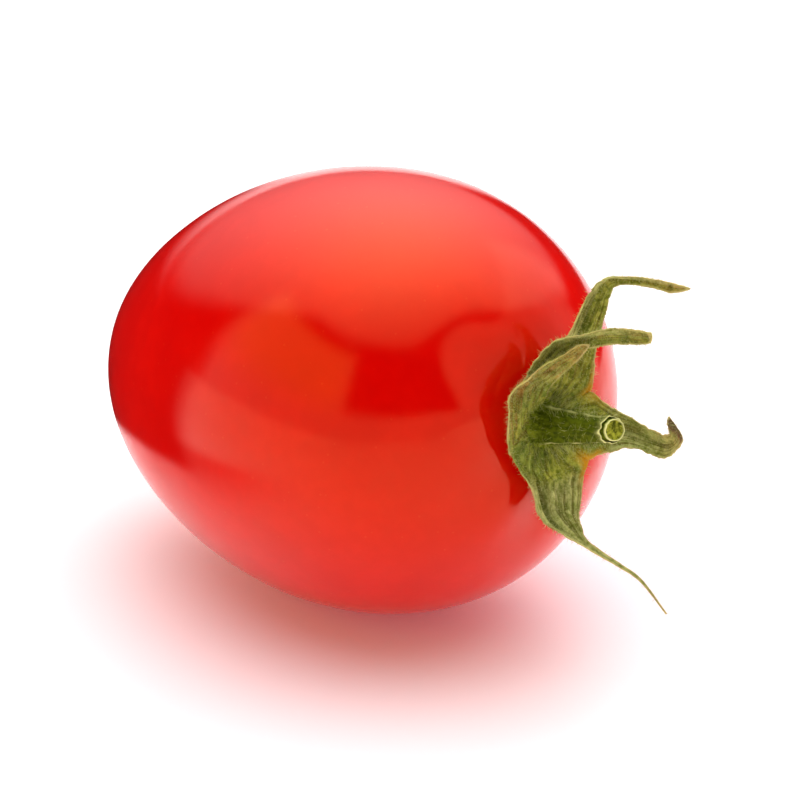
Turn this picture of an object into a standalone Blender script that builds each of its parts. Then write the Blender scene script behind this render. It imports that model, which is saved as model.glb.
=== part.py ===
"""A ripe plum tomato, as picked, with its calyx and a stub of its stem, lying on a small flat spot.

The origin is the middle of the flat spot, on the surface that the tomato lies on. +Z is up, and
seen from above the stem end points along +X. The fruit's long axis rises by AXIS_RISE towards the
stem, which is how this shape lies when nothing holds it: its centre of mass is over the flat spot.

The calyx has a frame of its own at the bottom of the stem dimple: its z is the stem's axis, away
from the fruit, its x points up and its y points to -Y. Each sepal is laid out there by its two
edges, whose points are three distances: up, to the side, and the rise along the stem.
"""

import math

import bmesh
import bpy
import numpy as np
from mathutils import Matrix, Vector

MM = 0.001

FRUIT_LENGTH = 42.0 * MM
FRUIT_WIDTH = 32.0 * MM
STEM_HALF_FULLNESS = 0.18
END_BLUNTNESS = 0.975
AXIS_RISE = math.radians(10.0)
FLAT_SPOT_DEPTH = 0.35 * MM

DIMPLE_DEPTH = 1.2 * MM
DIMPLE_RADIUS = 4.5 * MM
SHOULDER_LOBES = 5
LOBE_HEIGHT = 0.18 * MM
LOBE_RADIUS = 7.0 * MM
LOBE_SPREAD = 3.0 * MM
SCAR_HEIGHT = 0.3 * MM
SCAR_RADIUS = 1.0 * MM

GAP = 0.35 * MM
CUP_RADIUS = 3.1 * MM
CUP_THICKNESS = 0.45 * MM
CUP_RIM_LIFT = 0.35 * MM

STEM_BASE_RADIUS = 1.45 * MM
STEM_END_RADIUS = 0.83 * MM
STEM_RISE = 7.2 * MM
STEM_LEAN = (0.4 * MM, -0.6 * MM)
STEM_FLARE = 1.6

SEPAL_THICKNESS = 0.42 * MM
SEPAL_TIP_THICKNESS = 0.28 * MM

# A sepal is swept between its two edges, from its base to its tip. Each row: a point of one edge,
# a point of the other, both as (up, side, rise along the stem), then how far the middle between
# them sinks towards the fruit and how far it bulges ahead along the sepal, all in mm.
SEPALS = {
    "sepal_upper": [
        ((1.7, -3.9, 1.5), (4.1, 0.0, 1.3), 0.2, 0.7),
        ((2.9, -4.1, 2.0), (4.9, -0.6, 1.8), 0.3, 0.3),
        ((4.3, -3.9, 2.5), (5.9, -1.1, 2.3), 0.3, 0.1),
        ((5.8, -4.1, 3.0), (7.0, -1.8, 2.8), 0.3, 0.0),
        ((7.4, -4.5, 3.5), (8.5, -2.6, 3.3), 0.2, 0.0),
        ((8.6, -4.3, 4.2), (9.6, -2.9, 4.1), 0.2, 0.0),
        ((9.5, -4.2, 5.0), (10.3, -3.3, 5.0), 0.2, 0.0),
        ((9.8, -4.4, 6.5), (10.4, -4.4, 6.6), 0.1, 0.0),
        ((9.8, -4.8, 8.3), (10.3, -4.9, 8.4), 0.1, 0.0),
        ((9.6, -5.0, 9.8), (10.1, -5.2, 10.0), 0.1, 0.0),
        ((9.7, -5.4, 11.2), (9.9, -5.4, 11.2), 0.0, 0.0),
    ],
    "sepal_side": [
        ((3.9, 0.7, 1.3), (2.9, 2.7, 1.2), 0.1, 0.2),
        ((4.2, 0.4, 2.1), (4.0, 2.1, 1.6), 0.2, 0.0),
        ((4.9, -0.1, 3.0), (5.1, 1.6, 2.0), 0.2, 0.0),
        ((5.6, -0.4, 4.0), (6.2, 1.1, 2.9), 0.2, 0.0),
        ((6.1, -0.7, 5.0), (6.9, 0.7, 3.9), 0.2, 0.0),
        ((6.3, -1.0, 6.0), (7.2, 0.0, 5.3), 0.2, 0.0),
        ((6.4, -1.4, 7.2), (7.7, -0.5, 6.9), 0.2, 0.0),
        ((6.5, -1.8, 8.9), (7.8, -1.3, 8.5), 0.2, 0.0),
        ((6.8, -2.0, 10.2), (7.5, -2.1, 10.3), 0.1, 0.0),
    ],
    "sepal_folded": [
        ((2.2, 0.9, 1.9), (0.4, 4.3, 1.7), 0.0, 0.0),
        ((2.7, 0.9, 2.3), (2.3, 4.6, 2.3), 0.0, 0.0),
        ((3.3, 0.8, 2.8), (3.6, 4.0, 2.5), 0.0, 0.0),
        ((3.9, 0.6, 3.4), (4.4, 2.9, 3.0), 0.0, 0.0),
        ((4.5, 0.3, 4.0), (5.1, 1.9, 3.8), 0.0, 0.0),
        ((5.2, 0.1, 4.8), (5.7, 1.1, 4.7), 0.0, 0.0),
        ((5.9, 0.1, 5.5), (6.1, 0.3, 5.5), 0.0, 0.0),
    ],
    "sepal_tailed": [
        ((-1.3, 3.7, 1.3), (-2.9, -2.4, 1.6), 0.2, 1.9),
        ((-2.2, 3.3, 1.3), (-3.9, -2.0, 1.8), 0.3, 1.3),
        ((-3.4, 3.0, 1.5), (-4.9, -1.8, 1.9), 0.4, 0.8),
        ((-5.1, 2.8, 1.9), (-6.0, -1.1, 2.2), 0.4, 0.3),
        ((-6.4, 2.4, 2.4), (-6.7, -0.5, 2.6), 0.3, 0.0),
        ((-7.3, 1.6, 3.0), (-7.2, -0.2, 3.0), 0.2, 0.0),
        ((-8.1, 0.8, 3.6), (-8.0, 0.0, 3.5), 0.1, 0.0),
        ((-9.2, -0.2, 4.4), (-9.0, -0.6, 4.3), 0.0, 0.0),
        ((-10.3, -1.0, 5.3), (-10.1, -1.4, 5.3), 0.0, 0.0),
        ((-11.5, -1.8, 6.5), (-11.3, -2.2, 6.5), 0.0, 0.0),
        ((-13.9, -2.7, 7.8), (-13.8, -3.0, 7.8), 0.0, 0.0),
    ],
    "sepal_curled": [
        ((-2.9, -2.9, 1.8), (1.1, -4.1, 1.6), 0.2, 0.6),
        ((-3.1, -3.6, 2.0), (0.4, -4.9, 1.9), 0.3, 0.3),
        ((-3.2, -4.5, 2.4), (-0.4, -5.5, 2.3), 0.3, 0.0),
        ((-3.1, -5.4, 2.9), (-0.9, -6.1, 2.8), 0.3, 0.0),
        ((-3.4, -6.1, 3.6), (-1.5, -6.6, 3.4), 0.2, 0.0),
        ((-3.8, -6.6, 4.4), (-2.0, -6.8, 4.2), 0.2, 0.0),
        ((-3.9, -6.9, 5.3), (-2.2, -6.8, 5.2), 0.2, 0.0),
        ((-3.3, -7.1, 6.2), (-2.0, -6.7, 6.1), 0.1, 0.0),
        ((-2.6, -7.1, 6.9), (-1.2, -5.9, 6.9), 0.1, 0.0),
        ((-2.0, -7.0, 7.1), (-0.7, -5.6, 7.2), 0.0, 0.0),
        ((-0.5, -6.2, 7.0), (-0.3, -6.0, 7.0), 0.0, 0.0),
    ],
}

FRUIT_ROWS = 40
FRUIT_SIDES = 48
CUP_SIDES = 24
STEM_ROWS = 9
STEM_SIDES = 14
SEPAL_ROWS = 23
SEPAL_COLUMNS = 7

RIPE_RED = (0.70, 0.012, 0.004)
CALYX_GREEN = (0.10, 0.13, 0.025)
SEPAL_GREEN = (0.19, 0.20, 0.045)
STEM_GREEN = (0.08, 0.11, 0.012)


def clear_scene():
    for thing in list(bpy.data.objects):
        bpy.data.objects.remove(thing, do_unlink=True)


def material(name, colour, roughness):
    made = bpy.data.materials.new(name)
    made.use_nodes = True
    shader = made.node_tree.nodes["Principled BSDF"]
    shader.inputs["Base Color"].default_value = (*colour, 1.0)
    shader.inputs["Roughness"].default_value = roughness
    shader.inputs["Metallic"].default_value = 0.0
    return made


def add_object(name, points, faces, finish, carrier):
    """A smooth-shaded mesh object whose points are in the frame of the empty that carries it."""
    mesh = bpy.data.meshes.new(name)
    mesh.from_pydata([tuple(point) for point in points], [], faces)
    mesh.validate()
    made = bpy.data.objects.new(name, mesh)
    bpy.context.scene.collection.objects.link(made)
    made.parent = carrier
    mesh.materials.append(finish)
    mesh.shade_smooth()
    mesh.set_sharp_from_angle(angle=math.radians(40))
    return made


def add_carrier(name, matrix):
    carrier = bpy.data.objects.new(name, None)
    bpy.context.scene.collection.objects.link(carrier)
    carrier.matrix_world = matrix
    return carrier


def fruit_profile(turn):
    """(distance along the axis, radius) of an egg, where turn runs from 0 at the stem to pi.

    The radius is a sine to the power of END_BLUNTNESS, made fuller towards the stem.
    """
    along = FRUIT_LENGTH / 2 * np.cos(turn)
    shape = np.sin(turn) ** END_BLUNTNESS * (1 + STEM_HALF_FULLNESS * np.cos(turn))
    fine = np.linspace(0, math.pi, 721)
    fullest = (np.sin(fine) ** END_BLUNTNESS * (1 + STEM_HALF_FULLNESS * np.cos(fine))).max()
    return along, FRUIT_WIDTH / 2 * shape / fullest


def height_above_surface():
    """How high the fruit's middle stands when its lowest point touches the surface, and how far
    that lowest point is ahead of the middle along +X."""
    along, radius = fruit_profile(np.linspace(0.01, math.pi - 0.01, 3000))
    height = along * math.sin(AXIS_RISE) - radius * math.cos(AXIS_RISE)
    lowest = int(height.argmin())
    ahead = along[lowest] * math.cos(AXIS_RISE) + radius[lowest] * math.sin(AXIS_RISE)
    return -float(height[lowest]), float(ahead)


def axis_frame(distance):
    """The frame on the fruit's axis at this distance from its middle: z to the stem, x upwards."""
    height, ahead = height_above_surface()
    upwards = Vector((-math.sin(AXIS_RISE), 0, math.cos(AXIS_RISE)))
    sideways = Vector((0, -1, 0))
    to_stem = Vector((math.cos(AXIS_RISE), 0, math.sin(AXIS_RISE)))
    middle = Vector((-ahead, 0, height - FLAT_SPOT_DEPTH))
    frame = Matrix((upwards, sideways, to_stem)).transposed().to_4x4()
    frame.translation = middle + distance * to_stem
    return frame


def lower_by(radius, bearing):
    """How far the surface near the stem is lowered: the dimple, less the lobes of the shoulder."""
    dimple = DIMPLE_DEPTH * np.exp(-((radius / DIMPLE_RADIUS) ** 2))
    ring = np.exp(-(((radius - LOBE_RADIUS) / LOBE_SPREAD) ** 2))
    return dimple - LOBE_HEIGHT * ring * np.cos(SHOULDER_LOBES * bearing)


def make_fruit(frame, finish):
    """Rings of the egg profile with a dimple at the stem and a scar at the other end, cut flat
    where it lies."""
    turns = math.pi * (np.arange(1, FRUIT_ROWS) / FRUIT_ROWS)
    bearings = 2 * math.pi * np.arange(FRUIT_SIDES) / FRUIT_SIDES
    along, radius = (column[:, None] for column in fruit_profile(turns))
    stem_half = along > 0
    along = along - stem_half * lower_by(radius, bearings)
    along = along - ~stem_half * SCAR_HEIGHT * np.exp(-((radius / SCAR_RADIUS) ** 2))
    rings = np.stack([radius * np.cos(bearings), radius * np.sin(bearings), along], axis=-1)
    poles = [
        (0, 0, FRUIT_LENGTH / 2 - DIMPLE_DEPTH),
        (0, 0, -FRUIT_LENGTH / 2 - SCAR_HEIGHT),
    ]
    points = [tuple(point) for point in rings.reshape(-1, 3)] + poles
    stem_pole = len(points) - 2
    far_pole = len(points) - 1
    last_ring = (FRUIT_ROWS - 2) * FRUIT_SIDES
    faces = []
    for side in range(FRUIT_SIDES):
        after = (side + 1) % FRUIT_SIDES
        faces.append((side, after, stem_pole))
        faces.append((last_ring + after, last_ring + side, far_pole))
        for row in range(FRUIT_ROWS - 2):
            near = row * FRUIT_SIDES
            far = near + FRUIT_SIDES
            faces.append((near + side, far + side, far + after, near + after))
    fruit = add_object("fruit", points, faces, finish, frame)
    cut_flat_spot(fruit.data, frame.matrix_world)
    return fruit


def cut_flat_spot(mesh, matrix):
    """Takes off what is below the surface that the fruit lies on, and closes the cut with one
    flat face."""
    to_local = matrix.inverted()
    plane_point = to_local @ Vector((0, 0, 0))
    plane_normal = (to_local.to_3x3() @ Vector((0, 0, 1))).normalized()
    shape = bmesh.new()
    shape.from_mesh(mesh)
    bmesh.ops.bisect_plane(
        shape,
        geom=shape.verts[:] + shape.edges[:] + shape.faces[:],
        dist=0.01 * MM,
        plane_co=plane_point,
        plane_no=plane_normal,
        clear_inner=True,
    )
    rim = [edge for edge in shape.edges if edge.is_boundary]
    made = bmesh.ops.edgeloop_fill(shape, edges=rim)
    bmesh.ops.triangulate(shape, faces=made["faces"])
    bmesh.ops.recalc_face_normals(shape, faces=shape.faces[:])
    shape.to_mesh(mesh)
    shape.free()
    mesh.set_sharp_from_angle(angle=math.radians(12))


def turned_faces(rows, sides):
    """Quads of a tube of rings, with a fan of triangles to a middle point at each end."""
    first_middle = rows * sides
    last_middle = first_middle + 1
    last_ring = (rows - 1) * sides
    faces = []
    for side in range(sides):
        after = (side + 1) % sides
        faces.append((after, side, first_middle))
        faces.append((last_ring + side, last_ring + after, last_middle))
        for row in range(rows - 1):
            near = row * sides
            far = near + sides
            faces.append((near + side, near + after, far + after, far + side))
    return faces


def dimple_surface(radius):
    """Height of the fruit in the calyx frame at this distance from the stem's axis."""
    turns = np.linspace(0.0, 0.9, 200)
    along, profile_radius = fruit_profile(turns)
    top = np.interp(radius, profile_radius, along) - FRUIT_LENGTH / 2
    return top + DIMPLE_DEPTH - DIMPLE_DEPTH * math.exp(-((radius / DIMPLE_RADIUS) ** 2))


def make_cup(frame, finish):
    """The calyx's middle, where the sepals grow together: a shallow dish a gap above the dimple."""
    bearings = 2 * math.pi * np.arange(CUP_SIDES) / CUP_SIDES
    radii = np.array([0.5, 1.0]) * CUP_RADIUS
    under = [dimple_surface(radius) + GAP for radius in radii]
    over = [height + CUP_THICKNESS for height in under]
    under[1] += CUP_RIM_LIFT / 2
    over[1] += CUP_RIM_LIFT
    outline = [(radii[0], under[0]), (radii[1], under[1]), (radii[1], over[1]), (radii[0], over[0])]
    points = [
        (radius * math.cos(bearing), radius * math.sin(bearing), height)
        for radius, height in outline
        for bearing in bearings
    ]
    points += [(0, 0, GAP), (0, 0, GAP + CUP_THICKNESS)]
    return add_object("calyx_cup", points, turned_faces(len(outline), CUP_SIDES), finish, frame)


def make_stem(frame, finish):
    """The stub of stem: wide at its foot, narrowing to the cut, and leaning a little."""
    foot = CUP_THICKNESS + 2 * GAP
    along = np.linspace(0, 1, STEM_ROWS)[:, None]
    bearings = 2 * math.pi * np.arange(STEM_SIDES) / STEM_SIDES
    radius = STEM_END_RADIUS + (STEM_BASE_RADIUS - STEM_END_RADIUS) * (1 - along) ** STEM_FLARE
    shape = np.stack(
        [
            STEM_LEAN[0] * along**1.5 + radius * np.cos(bearings),
            STEM_LEAN[1] * along**1.5 + radius * np.sin(bearings),
            foot + (STEM_RISE - foot) * along + 0 * bearings,
        ],
        axis=-1,
    )
    points = [tuple(point) for point in shape.reshape(-1, 3)]
    points += [(0, 0, foot), (STEM_LEAN[0], STEM_LEAN[1], STEM_RISE)]
    return add_object("stem", points, turned_faces(STEM_ROWS, STEM_SIDES), finish, frame)


def smooth_run(sections, count):
    """Sections on a smooth curve through the given ones (a Catmull-Rom curve)."""
    before = 2 * sections[0] - sections[1]
    after = 2 * sections[-1] - sections[-2]
    padded = np.concatenate([[before], sections, [after]])
    place = np.linspace(0, len(sections) - 1, count)
    first = np.minimum(place.astype(int), len(sections) - 2)
    part = (place - first)[:, None, None]
    a, b, c, d = padded[first], padded[first + 1], padded[first + 2], padded[first + 3]
    steady = 2 * b + (c - a) * part
    curved = (2 * a - 5 * b + 4 * c - d) * part**2 + (3 * b - a - 3 * c + d) * part**3
    return (steady + curved) / 2


def unit(vectors):
    return vectors / np.linalg.norm(vectors, axis=-1, keepdims=True)


def sepal_sheet(rows):
    """Points of a sepal's middle surface, one row for each place along it.

    Each row of the table gives a section: straight from edge to edge, with its middle sunk
    towards the fruit and bulged ahead, both as a parabola. The sheet is a smooth curve through
    the sections.
    """
    one_edge = MM * np.array([row[0] for row in rows])
    other_edge = MM * np.array([row[1] for row in rows])
    sunk = MM * np.array([row[2] for row in rows])[:, None, None]
    bulged = MM * np.array([row[3] for row in rows])[:, None, None]
    run = unit(np.gradient((one_edge + other_edge) / 2, axis=0))
    outer = unit(np.cross(other_edge - one_edge, run))
    place = np.linspace(-1, 1, SEPAL_COLUMNS)[None, :, None]
    straight = ((1 - place) * one_edge[:, None] + (1 + place) * other_edge[:, None]) / 2
    sections = straight + (1 - place**2) * (sunk * outer[:, None] + bulged * run[:, None])
    return smooth_run(sections, SEPAL_ROWS)


def make_sepal(name, rows, frame, finish):
    """A sepal as a thin closed solid: its middle surface, thickened to both sides."""
    sheet = sepal_sheet(rows)
    along = np.gradient(sheet, axis=0)
    across = np.gradient(sheet, axis=1)
    normal = unit(np.cross(along, across))
    thickness = np.linspace(SEPAL_THICKNESS, SEPAL_TIP_THICKNESS, SEPAL_ROWS)[:, None, None]
    faces_of_sheet = [sheet + normal * thickness / 2, sheet - normal * thickness / 2]
    points = np.concatenate([face.reshape(-1, 3) for face in faces_of_sheet])
    lower = SEPAL_ROWS * SEPAL_COLUMNS
    faces = []
    for row in range(SEPAL_ROWS - 1):
        for column in range(SEPAL_COLUMNS - 1):
            corner = row * SEPAL_COLUMNS + column
            ahead = corner + SEPAL_COLUMNS
            faces.append((corner, ahead, ahead + 1, corner + 1))
            faces.append((lower + corner, lower + corner + 1, lower + ahead + 1, lower + ahead))
    rim = [column for column in range(SEPAL_COLUMNS - 1)]
    rim += [row * SEPAL_COLUMNS + SEPAL_COLUMNS - 1 for row in range(SEPAL_ROWS - 1)]
    rim += [(SEPAL_ROWS - 1) * SEPAL_COLUMNS + column for column in range(SEPAL_COLUMNS - 1, 0, -1)]
    rim += [row * SEPAL_COLUMNS for row in range(SEPAL_ROWS - 1, 0, -1)]
    for here, there in zip(rim, rim[1:] + rim[:1]):
        faces.append((here, there, lower + there, lower + here))
    return add_object(name, points, faces, finish, frame)


def main():
    clear_scene()
    fruit_axis = add_carrier("fruit_axis", axis_frame(0.0))
    calyx_axis = add_carrier("calyx_axis", axis_frame(FRUIT_LENGTH / 2 - DIMPLE_DEPTH))
    bpy.context.view_layer.update()
    make_fruit(fruit_axis, material("ripe_skin", RIPE_RED, 0.12))
    make_cup(calyx_axis, material("calyx_green", CALYX_GREEN, 0.7))
    make_stem(calyx_axis, material("stem_green", STEM_GREEN, 0.75))
    sepal_finish = material("sepal_green", SEPAL_GREEN, 0.7)
    for name, rows in SEPALS.items():
        make_sepal(name, rows, calyx_axis, sepal_finish)


main()
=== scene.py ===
# %% [markdown]
# # A plum tomato with its calyx
#
# The object is a ripe plum tomato as it is picked: a smooth red egg that lies on a small flat
# spot, a star of five dried sepals, and a stub of stem with a fresh cut. The solids that carry
# its weight and its size are loaded first. Everything after that is the fine surface: shapes
# worked out as arrays of points with numpy, and finishes made of shader nodes.

# %% Load the solids
import math

import bpy
import numpy as np
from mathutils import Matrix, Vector


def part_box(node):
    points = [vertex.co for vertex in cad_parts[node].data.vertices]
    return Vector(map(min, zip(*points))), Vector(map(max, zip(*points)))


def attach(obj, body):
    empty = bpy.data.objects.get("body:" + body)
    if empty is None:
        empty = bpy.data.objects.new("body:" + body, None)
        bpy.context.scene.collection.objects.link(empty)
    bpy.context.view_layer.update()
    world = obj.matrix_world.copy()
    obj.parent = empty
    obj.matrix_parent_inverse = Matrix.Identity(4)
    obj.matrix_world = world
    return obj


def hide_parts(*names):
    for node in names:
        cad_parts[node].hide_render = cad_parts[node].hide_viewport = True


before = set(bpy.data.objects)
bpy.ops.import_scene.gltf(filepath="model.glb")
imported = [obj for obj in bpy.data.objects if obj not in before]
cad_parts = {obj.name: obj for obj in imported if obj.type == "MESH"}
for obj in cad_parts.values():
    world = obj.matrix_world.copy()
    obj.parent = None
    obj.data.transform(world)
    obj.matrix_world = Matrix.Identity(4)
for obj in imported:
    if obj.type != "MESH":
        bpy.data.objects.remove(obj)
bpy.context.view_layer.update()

MM = 0.001


def in_mm(point):
    return [round(value / MM, 1) for value in point]


# %% [markdown]
# ## The fruit's own axes
#
# The fruit is an egg turned round one axis, which rises ten degrees towards the stem when the
# fruit lies unheld. Two frames follow from that: one at the egg's middle, and one for the calyx
# at the bottom of the stem dimple. Both have z along the axis, x upwards and y to one side, so
# a sepal can be laid out as on paper: out from the stem, round it, and up along it.

# %% Axes and driving sizes
low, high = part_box("fruit")
FRUIT_WIDTH = round((high.y - low.y) / MM) * MM
LENGTH_TO_WIDTH = 42 / 32
FRUIT_LENGTH = FRUIT_WIDTH * LENGTH_TO_WIDTH
STEM_HALF_FULLNESS = 0.18
END_BLUNTNESS = 0.975
AXIS_RISE = math.radians(10)
FLAT_SPOT_DEPTH = 0.35 * MM
DIMPLE_DEPTH = 1.2 * MM
DIMPLE_RADIUS = 4.5 * MM

UPWARDS = np.array([-math.sin(AXIS_RISE), 0, math.cos(AXIS_RISE)])
SIDEWAYS = np.array([0.0, -1.0, 0.0])
STEMWARD = np.array([math.cos(AXIS_RISE), 0, math.sin(AXIS_RISE)])
AXES = np.stack([UPWARDS, SIDEWAYS, STEMWARD])


def egg_profile(turn):
    """(distance along the axis, radius): a cosine, and a sine to a power that is made fuller
    towards the stem. turn runs from 0 at the stem to pi at the blossom end."""
    shape = np.sin(turn) ** END_BLUNTNESS * (1 + STEM_HALF_FULLNESS * np.cos(turn))
    fine = np.linspace(0, math.pi, 721)
    fullest = (np.sin(fine) ** END_BLUNTNESS * (1 + STEM_HALF_FULLNESS * np.cos(fine))).max()
    return FRUIT_LENGTH / 2 * np.cos(turn), FRUIT_WIDTH / 2 * shape / fullest


def egg_middle():
    """The egg's middle when its lowest point is the flat spot's depth below the origin."""
    along, radius = egg_profile(np.linspace(0.01, math.pi - 0.01, 3000))
    height = along * math.sin(AXIS_RISE) - radius * math.cos(AXIS_RISE)
    lowest = height.argmin()
    ahead = along[lowest] * math.cos(AXIS_RISE) + radius[lowest] * math.sin(AXIS_RISE)
    return np.array([-ahead, 0, -height[lowest] - FLAT_SPOT_DEPTH])


MIDDLE = egg_middle()
CALYX_FOOT = MIDDLE + (FRUIT_LENGTH / 2 - DIMPLE_DEPTH) * STEMWARD
print("fruit", in_mm([FRUIT_LENGTH, FRUIT_WIDTH]), "mm, its middle at", in_mm(MIDDLE))

# %% [markdown]
# ## Tools: noise, surfaces and pieces
#
# Nature is never quite even, so most shapes get a little noise. It is a lattice of random
# numbers from a fixed seed, blended smoothly between its points, so each run gives the same
# surface. Apart from the hairs, a piece is one closed grid of points: rows along it and
# columns round it, with a point at either end. Its volume tells whether the faces look
# outwards.


# %% Noise and unit vectors
def lattice_noise(points, cell, seed):
    """Smooth noise from -1 to 1: random numbers on the corners of cubes of side cell, blended
    by the fifth-power ease between them, and repeated every 32 cells."""
    size = 32
    table = np.random.default_rng(seed).uniform(-1, 1, (size, size, size))
    scaled = points / cell
    corner = np.floor(scaled).astype(int)
    part = scaled - corner
    part = part**3 * (part * (part * 6 - 15) + 10)
    total = 0.0
    for step in np.ndindex(2, 2, 2):
        index = (corner + np.array(step)) % size
        weight = np.where(np.array(step) == 1, part, 1 - part).prod(axis=-1)
        total = total + weight * table[index[..., 0], index[..., 1], index[..., 2]]
    return total


def unit(vectors):
    return vectors / np.maximum(np.linalg.norm(vectors, axis=-1, keepdims=True), 1e-12)


def ease(values, start, end):
    """0 before start, 1 after end and a smooth S between them."""
    part = np.clip((values - start) / (end - start), 0, 1)
    return part * part * (3 - 2 * part)


def smooth_run(rows, count):
    """count rows on a Catmull-Rom curve through the given rows, whatever a row holds."""
    rows = np.asarray(rows, float)
    last = len(rows) - 2
    padded = np.concatenate([[2 * rows[0] - rows[1]], rows, [2 * rows[-1] - rows[-2]]])
    way = np.linspace(0, len(rows) - 1, count)
    first = np.minimum(way.astype(int), last)
    part = (way - first).reshape(-1, *[1] * (rows.ndim - 1))
    a, b, c, d = padded[first], padded[first + 1], padded[first + 2], padded[first + 3]
    steady = 2 * b + (c - a) * part
    curved = (2 * a - 5 * b + 4 * c - d) * part**2 + (3 * b - a - 3 * c + d) * part**3
    return (steady + curved) / 2


# %% Turning a grid into a piece
def grid_corners(rows, columns, closed=True):
    """Corner numbers of a grid's quads. In a closed grid the last column meets the first."""
    last = columns if closed else columns - 1
    row, column = np.meshgrid(np.arange(rows - 1), np.arange(last), indexing="ij")
    after = (column + 1) % columns
    quads = [row * columns + column, row * columns + after, (row + 1) * columns + after]
    return np.stack([*quads, (row + 1) * columns + column], axis=-1).reshape(-1, 4)


def fan_corners(first, columns, pole, forward):
    """Triangles between a pole and the ring of points that starts at number first. forward says
    which way round they go."""
    side = np.arange(columns)
    after = (side + 1) % columns
    ends = (first + after, first + side) if forward else (first + side, first + after)
    return np.stack([*ends, np.full(columns, pole)], axis=-1)


def signed_volume(points, quads):
    """Six times the volume under the quads, which is positive when they look outwards."""
    a, b, c, d = (points[quads[:, corner]] for corner in range(4))
    return np.einsum("ij,ij->i", a, np.cross(b, c) + np.cross(c, d)).sum()


def fill_mesh(name, points, faces_of_sizes, corner_uvs=None):
    """A smooth mesh from points and one array of faces for each number of corners."""
    mesh = bpy.data.meshes.new(name)
    corners = np.concatenate([faces.reshape(-1) for faces in faces_of_sizes])
    sizes = np.concatenate([np.full(len(faces), faces.shape[1]) for faces in faces_of_sizes])
    starts = np.concatenate([[0], np.cumsum(sizes)[:-1]])
    mesh.vertices.add(len(points))
    mesh.vertices.foreach_set("co", points.astype(np.float32).reshape(-1))
    mesh.loops.add(len(corners))
    mesh.loops.foreach_set("vertex_index", corners.astype(np.int32))
    mesh.polygons.add(len(sizes))
    mesh.polygons.foreach_set("loop_start", starts.astype(np.int32))
    if corner_uvs is not None:
        uv_map = mesh.uv_layers.new(name="UVMap")
        uv_map.data.foreach_set("uv", corner_uvs.astype(np.float32).reshape(-1))
    mesh.update(calc_edges=True)
    mesh.validate()
    mesh.shade_smooth()
    return mesh


def add_piece(mesh, finish, node=None):
    """An object for the mesh, which rides on the only body and may replace a node's solids."""
    piece = bpy.data.objects.new(mesh.name, mesh)
    bpy.context.scene.collection.objects.link(piece)
    mesh.materials.append(finish)
    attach(piece, "root")
    if node:
        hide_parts(node)
    print(mesh.name, len(mesh.polygons), "faces")
    return piece


def grid_piece(name, grid, finish, node=None, masks=None):
    """A closed piece from a grid of points in world metres, closed at either end by a fan to the
    middle of the end row.

    The UV map runs with the columns in u and with the rows in v. Each mask is one number for
    each grid point, from 0 to 1, and becomes an attribute that the finish can read.
    """
    rows, columns = grid.shape[:2]
    ends = [grid[0].mean(axis=0), grid[-1].mean(axis=0)]
    points = np.concatenate([grid.reshape(-1, 3), ends])
    quads = grid_corners(rows, columns)
    turned = signed_volume(points, quads) < 0
    first_pole = rows * columns
    fans = [
        fan_corners(0, columns, first_pole, True),
        fan_corners((rows - 1) * columns, columns, first_pole + 1, False),
    ]
    row, column = np.meshgrid(np.arange(rows - 1), np.arange(columns), indexing="ij")
    u = np.stack([column, column + 1, column + 1, column], axis=-1).reshape(-1) / columns
    v = np.stack([row, row, row + 1, row + 1], axis=-1).reshape(-1) / (rows - 1)
    side = np.arange(columns) / columns
    fan_u = np.repeat(side, 3)
    fan_v = np.concatenate([np.zeros(3 * columns), np.ones(3 * columns)])
    uvs = np.stack([np.concatenate([u, fan_u, fan_u]), np.concatenate([v, fan_v])], axis=-1)
    if turned:
        quads = quads[:, ::-1]
        fans = [fan[:, ::-1] for fan in fans]
        uvs[: 4 * len(quads)] = uvs[: 4 * len(quads)].reshape(-1, 4, 2)[:, ::-1].reshape(-1, 2)
    mesh = fill_mesh(name, points, [quads, *fans], uvs)
    for mask, values in (masks or {}).items():
        values = np.broadcast_to(values, (rows, columns))
        stored = np.concatenate([values.reshape(-1), [values[0].mean(), values[-1].mean()]])
        kept = mesh.attributes.new(mask, "FLOAT", "POINT")
        kept.data.foreach_set("value", stored.astype(np.float32))
    return add_piece(mesh, finish, node)


def in_world(points, origin):
    """Points of a frame with the fruit's axes, in metres from origin, as world points."""
    return origin + points @ AXES


# %% [markdown]
# ## Tools: shader nodes
#
# A finish is a small tree of nodes. These helpers place one node each, link what goes in and
# hand back what comes out, so a finish reads from top to bottom like a recipe.


# %% Node helpers
def fill_inputs(tree, node, inputs):
    """Each input is a socket to link or a value to set."""
    for name, value in inputs.items():
        if isinstance(value, bpy.types.NodeSocket):
            tree.links.new(value, node.inputs[name])
        else:
            node.inputs[name].default_value = value


def place(tree, kind, inputs=None, **settings):
    """One node: settings are its own options, inputs are sockets to link or values to set."""
    node = tree.nodes.new(kind)
    for name, value in settings.items():
        setattr(node, name, value)
    fill_inputs(tree, node, inputs or {})
    return node


def object_place(tree):
    return place(tree, "ShaderNodeTexCoord").outputs["Object"]


def noise(tree, vector, size, detail=3.0, roughness=0.55):
    """Noise whose blotches are about size metres across, from 0 to 1."""
    inputs = {"Vector": vector, "Scale": 1 / size, "Detail": detail, "Roughness": roughness}
    return place(tree, "ShaderNodeTexNoise", inputs).outputs["Fac"]


def remap(tree, value, low_in, high_in, low_out=0.0, high_out=1.0):
    """A value stretched from one range to another, with an S curve and no overshoot."""
    inputs = {"Value": value, 1: low_in, 2: high_in, 3: low_out, 4: high_out}
    return place(tree, "ShaderNodeMapRange", inputs, interpolation_type="SMOOTHSTEP").outputs[0]


def calculate(tree, operation, first, second=0.0, clamp=False):
    inputs = {0: first, 1: second}
    return place(tree, "ShaderNodeMath", inputs, operation=operation, use_clamp=clamp).outputs[0]


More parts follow.
